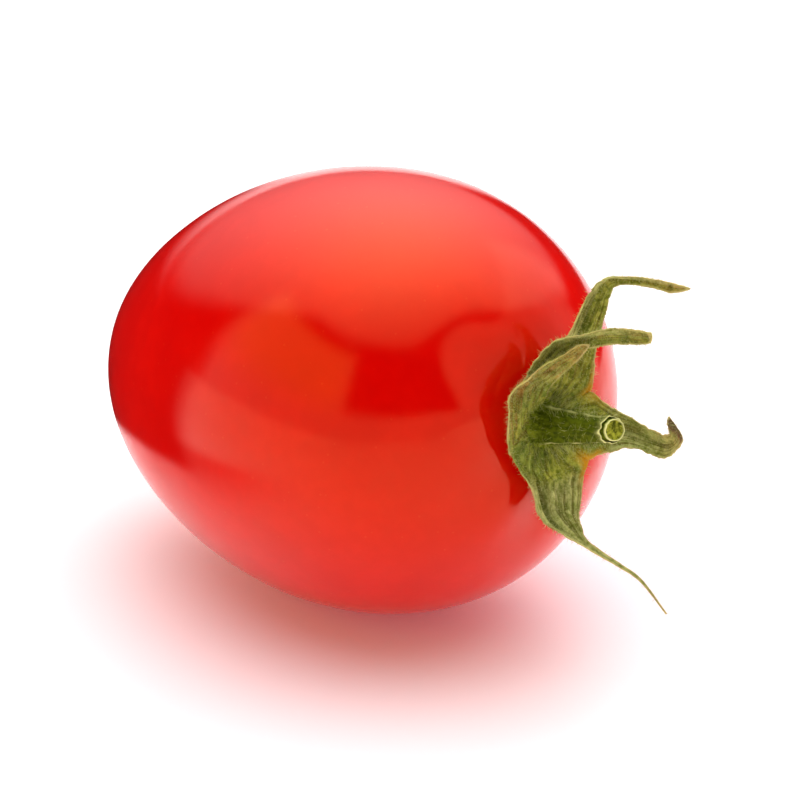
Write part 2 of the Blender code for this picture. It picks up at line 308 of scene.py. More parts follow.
def times(tree, first, second, clamp=False):
    return calculate(tree, "MULTIPLY", first, second, clamp)


def mix(tree, amount, below, above, blend="MIX"):
    """Two colours blended; a colour is a socket or three numbers."""
    colours = [c if isinstance(c, bpy.types.NodeSocket) else (*c, 1.0) for c in (below, above)]
    inputs = {0: amount, 6: colours[0], 7: colours[1]}
    return place(tree, "ShaderNodeMix", inputs, data_type="RGBA", blend_type=blend).outputs[2]


def layer(tree, below, amount, share, above):
    """A colour laid over another, as strong as a share of the amount."""
    return mix(tree, times(tree, amount, share, clamp=True), below, above)


def attribute(tree, name):
    return place(tree, "ShaderNodeAttribute", attribute_name=name).outputs["Fac"]


def new_finish(name):
    """A new material, its tree and its Principled shader."""
    made = bpy.data.materials.new(name)
    made.use_nodes = True
    return made, made.node_tree, made.node_tree.nodes["Principled BSDF"]


def tell(finish):
    """Prints how many nodes the finish has."""
    print("finish", finish.name, "with", len(finish.node_tree.nodes), "nodes")


def bump(tree, height, distance, strength):
    inputs = {"Height": height, "Distance": distance, "Strength": strength}
    return place(tree, "ShaderNodeBump", inputs).outputs["Normal"]


# %% [markdown]
# ## Ripe skin
#
# Tomato skin is a clear, faintly yellow cuticle over deep red flesh. Light enters the flesh and
# comes out some millimetres away, red light the furthest, which softens every shadow, so the
# shader scatters light under the surface. The gloss comes from the cuticle: smooth but not a
# mirror, and orange-red when seen head on. The colour hardly changes over the fruit: a few
# soft blotches, very fine pale dots, a brighter red round the stem that is partly a flush and
# partly painted light lifting the calyx's shade, and a cork-brown scar at the far end.


# %% The skin finish
def skin_finish():
    made, tree, shader = new_finish("ripe_skin")
    where = object_place(tree)
    blotches = remap(tree, noise(tree, where, 7 * MM), 0.35, 0.65)
    colour = mix(tree, blotches, (0.69, 0.0010, 0.0004), (0.75, 0.0022, 0.0006))
    fine = remap(tree, noise(tree, where, 1.2 * MM, 4.0), 0.3, 0.7)
    colour = layer(tree, colour, fine, 0.35, (0.65, 0.0008, 0.0004))
    dots = place(tree, "ShaderNodeTexVoronoi", {"Vector": where, "Scale": 1 / (1.1 * MM)})
    dot = remap(tree, dots.outputs["Distance"], 0.05, 0.11, 1.0, 0.0)
    colour = layer(tree, colour, dot, 0.07, (0.95, 0.16, 0.05))
    # Brighter red round the stem: partly a flush, partly painted light that lifts the calyx's
    # shade.
    colour = layer(tree, colour, attribute(tree, "near_stem"), 0.55, (1.0, 0.015, 0.001))
    scar = attribute(tree, "scar")
    cork = mix(tree, noise(tree, where, 0.25 * MM), (0.10, 0.035, 0.010), (0.50, 0.30, 0.12))
    gloss = remap(tree, noise(tree, where, 2.5 * MM), 0.3, 0.7, 0.11, 0.15)
    looks = {
        "Base Color": mix(tree, scar, colour, cork),
        "Roughness": calculate(tree, "ADD", gloss, times(tree, scar, 0.4)),
        "Normal": bump(tree, noise(tree, where, 0.35 * MM, 2.0), 0.006 * MM, 0.5),
        "IOR": 1.85,
        "Specular Tint": (1.0, 0.31, 0.115, 1.0),
        "Subsurface Weight": 0.85,
        "Subsurface Radius": (1.0, 0.10, 0.04),
        "Subsurface Scale": 9 * MM,
    }
    fill_inputs(tree, shader, looks)
    return made


RIPE_SKIN = skin_finish()
tell(RIPE_SKIN)

# %% [markdown]
# ## The fruit
#
# It could be a sphere that is scaled and pulled into shape, but the outline measured in the
# photograph is an egg's, so it is written as one: a profile turned round the axis. Departures
# make it a fruit: a dimple at the stem with uneven lobes on its shoulder, a hint of the three
# seed chambers, a slow waviness that bends the reflections, and a flat spot where it lies.


# %% The fruit's surface
LOBE_HEIGHT = 0.15 * MM
LOBE_RADIUS = 7.0 * MM
LOBE_SPREAD = 3.0 * MM
CHAMBER_SWELL = 0.10 * MM
FLAT_SPOT_SOFTNESS = 0.10 * MM


def bell(distance, spread):
    """1 at no distance, falling to nothing as exp(-(distance / spread) squared)."""
    return np.exp(-((distance / spread) ** 2))


def shoulder_drop(radius, bearing):
    """How far the surface round the stem is lowered: a bell-shaped dimple, less lobes that
    swell and sink round a ring, five of them and none like the next."""
    dimple = DIMPLE_DEPTH * bell(radius, DIMPLE_RADIUS)
    lobes = np.cos(5 * bearing) + 0.5 * np.cos(3 * bearing + 0.8) + 0.35 * np.sin(8 * bearing)
    return dimple - LOBE_HEIGHT * bell(radius - LOBE_RADIUS, LOBE_SPREAD) * lobes


def fruit_grid(rows=270, columns=320):
    """The egg in its own frame, with its departures, then pressed flat where it lies: each
    height becomes the mean of itself and its size, softened, so nothing is below the floor.
    The rows are closer together towards both ends."""
    share = np.linspace(0.0015, 1, rows, endpoint=False)
    turn = (math.pi * (share - 0.06 * np.sin(2 * math.pi * share)))[:, None]
    bearing = (2 * math.pi * np.arange(columns) / columns)[None, :]
    along, radius = egg_profile(turn)
    radius = radius + CHAMBER_SWELL * np.sin(turn) ** 2 * np.cos(3 * bearing + 0.9)
    along = along - (along > 0) * shoulder_drop(radius, bearing)
    far_end = 0.35 * bell(radius, 1.3 * MM) - 0.45 * bell(radius, 0.4 * MM)
    along = along + (along < 0) * far_end * MM
    egg = np.stack([radius * np.cos(bearing), radius * np.sin(bearing), along + 0 * bearing], -1)
    wave = 0.045 * lattice_noise(egg, 8 * MM, 3) + 0.012 * lattice_noise(egg, 3 * MM, 4)
    shoulder = (along > 0) * bell(radius - 6.5 * MM, 2.2 * MM)
    wave = wave + 0.07 * shoulder * lattice_noise(egg, 2.4 * MM, 5)
    egg = egg + unit(egg) * (wave * MM)[..., None]
    world = in_world(egg, MIDDLE)
    height = world[..., 2]
    world[..., 2] = (height + np.sqrt(height**2 + FLAT_SPOT_SOFTNESS**2)) / 2
    ragged = radius + 0.3 * MM * lattice_noise(egg, 0.5 * MM, 6)
    masks = {
        # near_stem: where the brighter red round the stem goes, partly painted light under the
        # calyx.
        "near_stem": (along > 0) * (1 - ease(radius, 2.5 * MM, 6.5 * MM)),
        "scar": (along < 0) * (1 - ease(ragged, 0.2 * MM, 0.75 * MM)),
    }
    return world, masks


fruit_points, fruit_masks = fruit_grid()
grid_piece("fruit_skin", fruit_points, RIPE_SKIN, "fruit", fruit_masks)

# %% [markdown]
# ## Dry leaf
#
# The calyx is a leaf that has begun to dry: a mottled olive green, darker in the middle where it
# is still fresh, straw-coloured along its margins, with a painted highlight on the edge there as
# well, and orange in the notches between the sepals.
# The mottle and the lengthwise streaks are used by sepals, cup and stem alike, so they are one
# node group that each finish fills with its own sizes.


# %% Mottle and streaks as a group
def leaf_grain_group():
    """Mottle by place, streaks along the run, and bands along the broad run. Height adds the
    mottle to the streaks."""
    group = bpy.data.node_groups.new("leaf_grain", "ShaderNodeTree")
    sockets = group.interface
    for name in ("Place", "Run", "Broad Run"):
        sockets.new_socket(name, in_out="INPUT", socket_type="NodeSocketVector")
    for name in ("Mottle Scale", "Streak Scale"):
        sockets.new_socket(name, in_out="INPUT", socket_type="NodeSocketFloat")
    for name in ("Mottle", "Streaks", "Light Bands", "Dark Bands", "Height"):
        sockets.new_socket(name, in_out="OUTPUT", socket_type="NodeSocketFloat")
    came = place(group, "NodeGroupInput").outputs

    def grain(vector, scale, detail, roughness):
        inputs = {"Vector": vector, "Scale": scale, "Detail": detail, "Roughness": roughness}
        return place(group, "ShaderNodeTexNoise", inputs).outputs["Fac"]

    mottle = grain(came["Place"], came["Mottle Scale"], 4.0, 0.66)
    streaks = grain(came["Run"], came["Streak Scale"], 3.0, 0.6)
    bands = noise(group, came["Broad Run"], 1.0, 2.0)
    leaves = {
        "Mottle": remap(group, mottle, 0.33, 0.67),
        "Streaks": remap(group, streaks, 0.44, 0.66),
        "Light Bands": remap(group, bands, 0.54, 0.66),
        "Dark Bands": remap(group, bands, 0.46, 0.34),
        "Height": calculate(group, "ADD", times(group, mottle, 0.6), streaks),
    }
    place(group, "NodeGroupOutput", leaves)
    return group


LEAF_GRAIN = leaf_grain_group()
print("group", LEAF_GRAIN.name, "with", len(LEAF_GRAIN.nodes), "nodes")


def leaf_grain(tree, mottle_size, run_scale):
    """The group's outputs in this material. Streaks and bands follow the piece's UV map: the run
    scale says how many there are round it and along it, and bands are broader."""
    coordinates = place(tree, "ShaderNodeTexCoord").outputs

    def stretched(share):
        inputs = {"Vector": coordinates["UV"], "Scale": [share * scale for scale in run_scale]}
        return place(tree, "ShaderNodeMapping", inputs).outputs["Vector"]

    inputs = {
        "Place": coordinates["Object"],
        "Mottle Scale": 1 / mottle_size,
        "Run": stretched(1.0),
        "Streak Scale": 1.0,
        "Broad Run": stretched(0.4),
    }
    return place(tree, "ShaderNodeGroup", inputs, node_tree=LEAF_GRAIN).outputs


# %% The sepal finish
def sepal_finish():
    """Green from the mottle and bands first, then pale down with painted light, streaks and painted
    shade in the creases, then what is dry, fresh, orange, dead, flecked or straw-coloured with a
    painted highlight on the edge, each laid over what is below it."""
    made, tree, shader = new_finish("dry_sepal")
    grain = leaf_grain(tree, 0.45 * MM, (30.0, 3.5, 1.0))
    where = object_place(tree)
    colour = mix(tree, grain["Mottle"], (0.125, 0.165, 0.005), (0.47, 0.49, 0.065))
    bluish = remap(tree, noise(tree, where, 2.5 * MM, 2.0), 0.4, 0.65)
    colour = layer(tree, colour, bluish, 0.5, (0.13, 0.23, 0.04))
    colour = layer(tree, colour, grain["Light Bands"], 0.5, (0.50, 0.55, 0.13))
    colour = layer(tree, colour, grain["Dark Bands"], 0.6, (0.07, 0.10, 0.004))
    # Pale down, partly painted light that lifts the blade where it lies in shade.
    down = mix(tree, grain["Mottle"], (0.30, 0.34, 0.07), (0.72, 0.71, 0.27))
    colour = mix(tree, attribute(tree, "pale"), colour, down)
    colour = layer(tree, colour, grain["Streaks"], 0.8, (0.06, 0.085, 0.003))
    # Painted shade: the creases of the relief are darkened.
    colour = layer(tree, colour, attribute(tree, "painted_crease_shade"), 0.6, (0.05, 0.07, 0.002))
    streaked = calculate(tree, "ADD", grain["Streaks"], 0.3)
    dry = times(tree, attribute(tree, "dry"), streaked)
    brown = mix(tree, grain["Mottle"], (0.22, 0.085, 0.020), (0.60, 0.33, 0.08))
    colour = layer(tree, colour, dry, 0.9, brown)
    fresh = mix(tree, grain["Mottle"], (0.030, 0.052, 0.0004), (0.15, 0.21, 0.004))
    colour = layer(tree, colour, attribute(tree, "fresh"), 0.9, fresh)
    colour = mix(tree, attribute(tree, "notch"), colour, (0.76, 0.34, 0.015))
    colour = layer(tree, colour, attribute(tree, "dead"), 0.85, (0.10, 0.06, 0.03))
    flecks = remap(tree, noise(tree, where, 0.16 * MM, 2.0), 0.58, 0.70)
    colour = layer(tree, colour, flecks, 0.4, (0.70, 0.69, 0.26))
    looks = {
        # The straw-coloured margin is a dry edge and also a painted highlight along it.
        "Base Color": layer(tree, colour, attribute(tree, "margin"), 0.85, (0.68, 0.58, 0.22)),
        "Roughness": remap(tree, grain["Mottle"], 0.0, 1.0, 0.55, 0.75),
        "Normal": bump(tree, grain["Height"], 0.10 * MM, 0.8),
        "Specular IOR Level": 0.10,
        "Specular Tint": (1.0, 0.95, 0.45, 1.0),
        "Subsurface Weight": 0.10,
        "Subsurface Radius": (0.6, 1.0, 0.2),
        "Subsurface Scale": 0.3 * MM,
    }
    fill_inputs(tree, shader, looks)
    return made


SEPAL_LEAF = sepal_finish()
tell(SEPAL_LEAF)

# %% [markdown]
# ## Sepals
#
# A sepal could be a flat leaf shape bent by a modifier, but each one here has dried its own way.
# So it is swept between its two edges: a row of the table below says where the edge on either
# side runs, and how far the blade between them is bowed. Towards the stem the blades widen
# until they meet, as sepals do, and there a row is an arc round the stem from one notch to the
# next. Veins, wrinkles, a crease and a curl of the margin are added along the normal.

# %% Edges of the sepals
# Bearings go round the stem in degrees from straight up. The low side of a sepal is its edge at
# the lower bearing, and the high side is the other.
# notches: the bearings between which it grows out of the dish, over this number of arcs.
# dryness, dry_tip, dead_tip: how brown the blade is, how much more at its tip, and how grey there.
# crease: where its line starts and ends, from -1 at the low side to 1, and its depth in mm.
# pale: how much pale down there is on the low side of the crease, how much on the high side, and
# from how far out in mm. Part of this paleness is painted light that lifts the blade where it
# lies in shade.
# orange: how orange the low and the high notch are.
# free_beyond: how far out in mm it parts from the sepals beside it.
# rows: a point of the low edge and one of the high edge, both as (up, side, stemward) from the
# calyx's foot in mm, then how far the middle is bowed away from the stem and how far it bulges
# ahead along the sepal, in mm.
SEPALS = {
    "sepal_upper": {
        "notches": (-71, 5),
        "arcs": 4,
        "dryness": 0.35,
        "dry_tip": 0.4,
        "crease": (0.0, 0.1, 0.42),
        "dead_tip": 0.0,
        "pale": (0.1, 0.8, 4.6),
        "orange": (1, 0),
        "free_beyond": 4.2,
        "rows": [
            ((1.4, -4.0, 1.5), (4.2, 0.4, 1.2), -0.3, 0.7),
            ((2.8, -4.2, 2.0), (5.0, -0.3, 1.7), -0.4, 0.3),
            ((4.3, -3.9, 2.5), (5.9, -1.1, 2.3), -0.4, 0.0),
            ((5.8, -4.1, 3.0), (7.0, -1.8, 2.8), -0.35, 0.0),
            ((7.4, -4.5, 3.5), (8.5, -2.6, 3.3), -0.3, 0.0),
            ((8.6, -4.3, 4.2), (9.6, -2.9, 4.1), -0.3, 0.0),
            ((9.5, -4.2, 5.0), (10.3, -3.3, 5.0), -0.3, 0.0),
            ((9.8, -4.4, 6.5), (10.4, -4.4, 6.6), -0.2, 0.0),
            ((9.65, -4.8, 8.3), (10.3, -4.9, 8.4), -0.2, 0.0),
            ((9.5, -5.0, 9.8), (10.1, -5.2, 10.0), -0.2, 0.0),
            ((9.8, -5.4, 11.2), (9.9, -5.4, 11.2), 0.0, 0.0),
        ],
    },
    "sepal_side": {
        "notches": (5, 48),
        "arcs": 4,
        "dryness": 0.2,
        "dry_tip": 0.1,
        "crease": (0.1, -0.1, 0.16),
        "dead_tip": 0.0,
        "pale": (0.1, 0.4, 3.0),
        "orange": (0, 0),
        "free_beyond": 4.2,
        "rows": [
            ((4.2, 0.4, 1.2), (3.0, 3.0, 1.0), -0.2, 0.2),
            ((4.0, 0.1, 2.0), (4.0, 2.3, 1.5), -0.3, 0.0),
            ((4.8, -0.2, 3.0), (5.1, 1.7, 2.0), -0.35, 0.0),
            ((5.6, -0.5, 4.0), (6.2, 1.2, 2.9), -0.35, 0.0),
            ((6.0, -0.7, 5.0), (6.9, 0.8, 3.9), -0.35, 0.0),
            ((6.2, -1.0, 6.0), (7.2, 0.1, 5.3), -0.35, 0.0),
            ((6.4, -1.4, 7.2), (7.7, -0.5, 6.9), -0.3, 0.0),
            ((6.5, -1.8, 8.9), (7.8, -1.3, 8.5), -0.3, 0.0),
            ((6.8, -2.0, 10.2), (7.5, -2.1, 10.3), -0.2, 0.0),
        ],
    },
    "sepal_folded": {
        "notches": (20, 104),
        "arcs": 3,
        "dryness": 0.9,
        "dry_tip": 0.3,
        "crease": (0.1, 0.0, 0.3),
        "dead_tip": 0.0,
        "pale": (0.35, 0.1, 3.0),
        "orange": (0, 0),
        "free_beyond": 2.6,
        "rows": [
            ((2.1, 0.8, 1.5), (-0.9, 4.05, 1.25), -0.4, 0.0),
            ((2.4, 0.8, 1.9), (1.1, 4.55, 1.9), -0.5, 0.0),
            ((2.7, 0.8, 2.2), (2.3, 4.75, 2.2), -0.5, 0.0),
            ((3.3, 0.8, 2.6), (3.7, 4.1, 2.0), -0.5, 0.0),
            ((3.9, 0.6, 3.2), (4.5, 2.9, 2.7), -0.35, 0.0),
            ((4.6, 0.1, 3.9), (5.4, 1.9, 3.6), -0.3, 0.0),
            ((5.4, -0.2, 4.8), (6.0, 1.0, 4.6), -0.2, 0.0),
            ((6.1, -0.3, 5.5), (6.6, 0.3, 5.4), -0.1, 0.0),
            ((6.5, -0.3, 5.9), (6.6, -0.3, 5.9), 0.0, 0.0),
        ],
    },
    "sepal_tailed": {
        "notches": (96, 219),
        "arcs": 4,
        "dryness": 0.2,
        "dry_tip": 0.5,
        "crease": (-0.25, -0.6, 0.5),
        "dead_tip": 0.0,
        "pale": (1.1, 0.9, 3.6),
        "orange": (0, 1),
        "free_beyond": 4.2,
        "rows": [
            ((-0.5, 4.05, 1.2), (-3.2, -2.7, 1.8), -0.6, 2.1),
            ((-2.0, 3.5, 1.25), (-4.1, -2.2, 1.8), -0.7, 1.5),
            ((-3.4, 3.0, 1.5), (-4.9, -1.8, 1.9), -0.65, 0.9),
            ((-5.1, 2.8, 1.9), (-6.0, -1.1, 2.2), -0.55, 0.4),
            ((-6.4, 2.4, 2.4), (-6.7, -0.5, 2.6), -0.4, 0.0),
            ((-7.3, 1.6, 3.0), (-7.2, -0.2, 3.0), -0.25, 0.0),
            ((-8.1, 0.8, 3.6), (-8.0, 0.0, 3.5), -0.15, 0.0),
            ((-9.2, -0.2, 4.4), (-9.0, -0.6, 4.3), -0.1, 0.0),
            ((-10.2, -1.1, 5.3), (-10.1, -1.4, 5.3), 0.0, 0.0),
            ((-11.4, -1.9, 6.5), (-11.3, -2.1, 6.5), 0.0, 0.0),
            ((-13.9, -2.8, 7.8), (-13.9, -2.9, 7.8), 0.0, 0.0),
        ],
    },
    "sepal_curled": {
        "notches": (219, 289),
        "arcs": 4,
        "dryness": 0.2,
        "dry_tip": 0.95,
        "crease": (0.0, 0.1, 0.3),
        "dead_tip": 1.0,
        "pale": (0.8, 0.6, 4.6),
        "orange": (1, 0.4),
        "free_beyond": 4.2,
        "rows": [
            ((-3.3, -2.6, 1.8), (1.3, -4.0, 1.5), -0.4, 0.7),
            ((-3.2, -3.5, 2.0), (0.4, -4.9, 1.8), -0.5, 0.3),
            ((-3.2, -4.5, 2.4), (-0.4, -5.5, 2.3), -0.5, 0.0),
            ((-3.1, -5.4, 2.9), (-0.9, -6.1, 2.8), -0.4, 0.0),
            ((-3.4, -6.1, 3.6), (-1.5, -6.6, 3.4), -0.35, 0.0),
            ((-3.8, -6.6, 4.4), (-2.0, -6.8, 4.2), -0.35, 0.0),
            ((-3.9, -6.9, 5.3), (-2.2, -6.8, 5.2), -0.3, 0.0),
            ((-3.3, -7.1, 6.2), (-2.0, -6.7, 6.1), -0.2, 0.0),
            ((-2.6, -7.1, 6.9), (-1.2, -5.9, 6.9), -0.2, 0.0),
            ((-2.0, -7.0, 7.1), (-0.7, -5.6, 7.2), -0.1, 0.0),
            ((-0.4, -6.1, 7.0), (-0.3, -6.0, 7.0), 0.0, 0.0),
        ],
    },
}
# Radii and rises of the dish's arcs are in mm.
DISH_RADII = (1.2, 1.9, 2.6, 3.3)
DISH_RISES = (0.62, 0.70, 0.88, 1.15)
SEPAL_ROWS = 160
SEPAL_COLUMNS = 51
DENSE_ROWS = 900
ACROSS = np.linspace(-1, 1, SEPAL_COLUMNS)
print("rows in the sepals' tables:", [len(sepal["rows"]) for sepal in SEPALS.values()])


# %% From edges to a sheet
def blade_sections(rows):
    """One section of points for each row: straight from edge to edge, plus the bow along the
    blade's normal and the bulge along its run, both as a parabola."""
    low = np.array([row[0] for row in rows])
    high = np.array([row[1] for row in rows])
    bow, bulge = (np.array([row[item] for row in rows])[:, None, None] for item in (2, 3))
    run = unit(np.gradient((low + high) / 2, axis=0))
    normal = unit(np.cross(run, high - low))[:, None]
    across = ACROSS[None, :, None]
    straight = ((1 - across) * low[:, None] + (1 + across) * high[:, None]) / 2
    return straight + (1 - across**2) * (bow * normal + bulge * run[:, None])


def dish_sections(sepal):
    """Arcs round the stem from one notch to the next, where the sepals are grown together."""
    bearings = np.radians(np.linspace(*sepal["notches"], SEPAL_COLUMNS))
    flat = np.stack([np.cos(bearings), np.sin(bearings), 0 * bearings], axis=-1)
    radii = np.array(DISH_RADII)[:, None, None]
    rises = np.array(DISH_RISES)[:, None, None] * np.array([0, 0, 1.0])
    return (radii * flat + rises)[: sepal["arcs"]]


def length_along(sheet):
    """How far each row is from the first, along the middle column."""
    steps = np.linalg.norm(np.diff(sheet[:, SEPAL_COLUMNS // 2], axis=0), axis=1)
    return np.concatenate([[0], np.cumsum(steps)])


def width_of(sheet):
    """How far apart the two edges are in each row."""
    return np.linalg.norm(sheet[:, -1] - sheet[:, 0], axis=1)[:, None]


def reach_of(sheet):
    """Distance of each point from the stem's axis."""
    return np.hypot(sheet[..., 0], sheet[..., 1])


def crease_line(sepal, share):
    """Where across the blade the crease runs, for each share of the way along it."""
    start, end, _ = sepal["crease"]
    return start + (end - start) * share


def on_both_faces(values):
    """Values of a sheet, and again with the columns reversed, as its outer face runs back."""
    return np.concatenate([values, values[:, ::-1]], axis=1)


def sepal_sheet(sepal):
    """The whole middle surface in mm: a smooth curve through the dish's arcs and the blade's
    sections, read off in equal steps of its length so that no row is crowded."""
    sections = np.concatenate([dish_sections(sepal), blade_sections(sepal["rows"])])
    dense = smooth_run(sections, DENSE_ROWS)
    length = length_along(dense)
    chosen = np.searchsorted(length, np.linspace(0, length[-1], SEPAL_ROWS))
    return dense[chosen.clip(0, DENSE_ROWS - 1)], length[-1]


def thicken(sheet, sepal, seed):
    """The sheet as a closed loop of columns, inner face out and outer face back, in mm.

    Along the normal it gets a crease, veins that run with the blade, wrinkles and a curl of the
    margin. All fade where the blade is narrow, and all but the veins where the sepals are grown
    together. It is thinnest at its margins, which are frayed by moving them along the width.
    """
    across = ACROSS[None, :]
    edge = np.abs(across)
    along = length_along(sheet)[:, None]
    width = width_of(sheet)
    side = across * width / 2
    free = ease(reach_of(sheet), 3.4, 5.2)

    def pattern(along_cell, side_cell, number):
        spots = np.broadcast_arrays(along / along_cell, side / side_cell, float(number))
        return lattice_noise(np.stack(spots, axis=-1), 1.0, seed + number)

    fray = 0.06 * pattern(0.45, 3.0, 0) + 0.05 * pattern(0.16, 3.0, 1)
    middle = (sheet[:, :1] + sheet[:, -1:]) / 2
    outwards = unit(sheet - middle + 1e-6)
    fray = fray * free * ease(edge, 0.7, 1.0) * np.clip(width / 1.5, 0.1, 1)
    sheet = sheet + outwards * fray[..., None]
    normal = unit(np.cross(np.gradient(sheet, axis=0), np.gradient(sheet, axis=1)))
    breadth = np.clip((width - 0.4) / 3.2, 0.06, 1)
    veins = 0.035 * np.cos(2 * math.pi * side / 0.42 + 2.5 * pattern(1.6, 0.8, 2))
    wrinkles = (0.24 * pattern(2.6, 0.8, 3) + 0.13 * pattern(1.1, 0.33, 4)) * (1 - 0.7 * edge**2)
    from_line = np.abs(across - crease_line(sepal, along / along[-1])) * width / 2
    crease = -sepal["crease"][2] * np.exp(-from_line / 0.3)
    curl = 0.16 * pattern(1.0, 9.0, 5) * ease(edge, 0.8, 1.0)
    relief = breadth * (veins + wrinkles * (0.25 + 0.75 * free) + (crease + curl) * free)
    thickness = (0.22 - 0.13 * edge**3) * (0.6 + 0.4 * breadth)
    inner = sheet + normal * (relief + thickness / 2)[..., None]
    outer = sheet + normal * (relief - thickness / 2)[..., None]
    # Painted shade for the creases: the deeper the relief sinks, the darker the finish paints it.
    painted_crease_shade = ease(-relief, 0.06, 0.34)
    return np.concatenate([inner, outer[:, ::-1]], axis=1), painted_crease_shade


def radial_streaks(up, side):
    """Noise from -1 to 1 that changes quickly round the stem and slowly away from it."""
    reach = np.maximum(np.hypot(up, side), 1e-6)
    around = np.stack([9 * up / reach, 9 * side / reach, 0.5 * reach], axis=-1)
    return lattice_noise(around, 1.0, 77)


def sepal_masks(sheet, painted_crease_shade, sepal, seed):
    """Where the blade gets painted shade in its creases, and where it is fresh, dry, dead, pale
    with down and painted light, orange at a notch or straw-coloured with a painted highlight at its
    margin, for both faces. Most of them run out along eased distances from the stem, the edges or
    the tip, made uneven by smooth patches."""
    across = ACROSS[None, :]
    from_edge = (1 - np.abs(across)) * width_of(sheet) / 2
    reach = reach_of(sheet)
    patches = 0.5 + 0.5 * lattice_noise(sheet, 1.3, seed + 6)
    share = np.linspace(0, 1, SEPAL_ROWS)[:, None]
    dry = sepal["dryness"] * (0.2 + 1.5 * patches) * (0.4 + 0.9 * ease(share, 0.25, 1.0))
    dry = dry + sepal["dry_tip"] * ease(share, 0.82, 0.9)
    near_notch = (1 - ease(from_edge + 0.4 * patches, 0.25, 1.0)) * bell(reach - 4.3, 0.7)
    free = ease(reach, sepal["free_beyond"] - 0.2, sepal["free_beyond"] + 0.5)
    # The margin: a dry edge, painted paler also as the highlight that the edge catches.
    rim = (1 - ease(from_edge, 0.03, 0.05 + 0.14 * patches)) * free * (0.25 + 0.75 * patches)
    low_side, high_side, beyond = sepal["pale"]
    line = crease_line(sepal, share)
    # The pale mask: pale down and, in part, painted light on shaded parts of the blade.
    side_pale = low_side + (high_side - low_side) * ease(across, line - 0.08, line + 0.08)
    outer = ease(reach, beyond, beyond + 1.5) + 0.5 * ease(reach, beyond + 2, beyond + 4)
    core = reach + 0.4 * patches + 0.9 * radial_streaks(sheet[..., 0], sheet[..., 1])
    masks = {
        "painted_crease_shade": painted_crease_shade,
        "fresh": (1 - ease(core, 1.3, 2.9)) * (0.7 + 0.3 * patches),
        "dry": np.clip(dry, 0, 1),
        "dead": sepal["dead_tip"] * ease(share, 0.82, 0.90),
        "pale": np.clip(side_pale * (0.5 + 0.5 * patches) * outer, 0, 1),
        "notch": np.where(across < 0, *sepal["orange"]) * near_notch,
        "margin": np.maximum(rim, ease(share + 0.02 * patches, 0.985, 0.995)),
    }
    return {name: on_both_faces(np.broadcast_to(m, reach.shape)) for name, m in masks.items()}


def hair_places(sheet):
    """How much hairs favour each point, and where the long ones round the stem grow: there are
    few in the dish, most on the margins, and more towards the tip."""
    reach = reach_of(sheet)
    few_in_dish = ease(reach, 2.2, 4.0) * 0.7 + 0.3
    on_margin = np.where(np.abs(ACROSS) > 0.93, 3.0, 1.0)
    favour = few_in_dish * on_margin * np.linspace(0.7, 1.8, SEPAL_ROWS)[:, None]
    on_inner_face = [(reach > 1.2) & (reach < 2.8), np.zeros(reach.shape, bool)]
    return on_both_faces(favour), np.concatenate(on_inner_face, axis=1)


# %% Make the five sepals
sepal_loops = {}
for number, (name, sepal) in enumerate(SEPALS.items()):
    sheet, length = sepal_sheet(sepal)
    seed = 20 + 10 * number
    loop, painted_crease_shade = thicken(sheet, sepal, seed)
    loop = in_world(loop * MM, CALYX_FOOT)
    sepal_loops[name] = (loop, *hair_places(sheet))
    masks = sepal_masks(sheet, painted_crease_shade, sepal, seed)
    grid_piece(name + "_leaf", loop, SEPAL_LEAF, name, masks)
    print(name, "is", round(length, 1), "mm long")

# %% [markdown]
# ## The calyx cup
#
# Under the dish the sepals share a thick, smooth base that sits on the fruit like a washer. It
# shows only in the gaps between the sepals and from behind, so a turned dish is enough.


# %% The cup under the sepals
def cup_finish():
    made, tree, shader = new_finish("calyx_base")
    grain = leaf_grain(tree, 0.5 * MM, (20.0, 2.0, 1.0))
    looks = {
        "Base Color": mix(tree, grain["Mottle"], (0.13, 0.18, 0.012), (0.36, 0.38, 0.05)),
        "Roughness": 0.6,
        "Normal": bump(tree, grain["Height"], 0.08 * MM, 0.7),
    }
    fill_inputs(tree, shader, looks)
    return made


def cup_grid(columns=96):
    """A turned dish: its outline goes under from the middle to the rim and back on top."""
    under = [(0.3, 0.30), (1.2, 0.30), (2.2, 0.32), (2.9, 0.42), (3.15, 0.62)]
    top = [(3.05, 0.72), (2.4, 0.62), (1.2, 0.50), (0.3, 0.5)]
    outline = smooth_run(under + top, 40)
    bearing = 2 * math.pi * np.arange(columns) / columns
    radius = outline[:, :1] * (1 + 0.03 * np.cos(5 * bearing + 0.4))
    rise = outline[:, 1:] + 0 * bearing
    return np.stack([radius * np.cos(bearing), radius * np.sin(bearing), rise], axis=-1)


cup = in_world(cup_grid() * MM, CALYX_FOOT)
grid_piece("calyx_base", cup, cup_finish(), "calyx_cup")

# %% [markdown]
# ## The stem
#
# The stub is a ribbed green cone that flares into the dish. Its cut shows how a stem is made:
# a thin torn skin, a dark gap, a pale thick ring that stands proud, and a sunken yellow-green
# pith. All of that is one outline carried round the axis: up the outside, over the skin, down
# the gap, over the ring and into the pith.

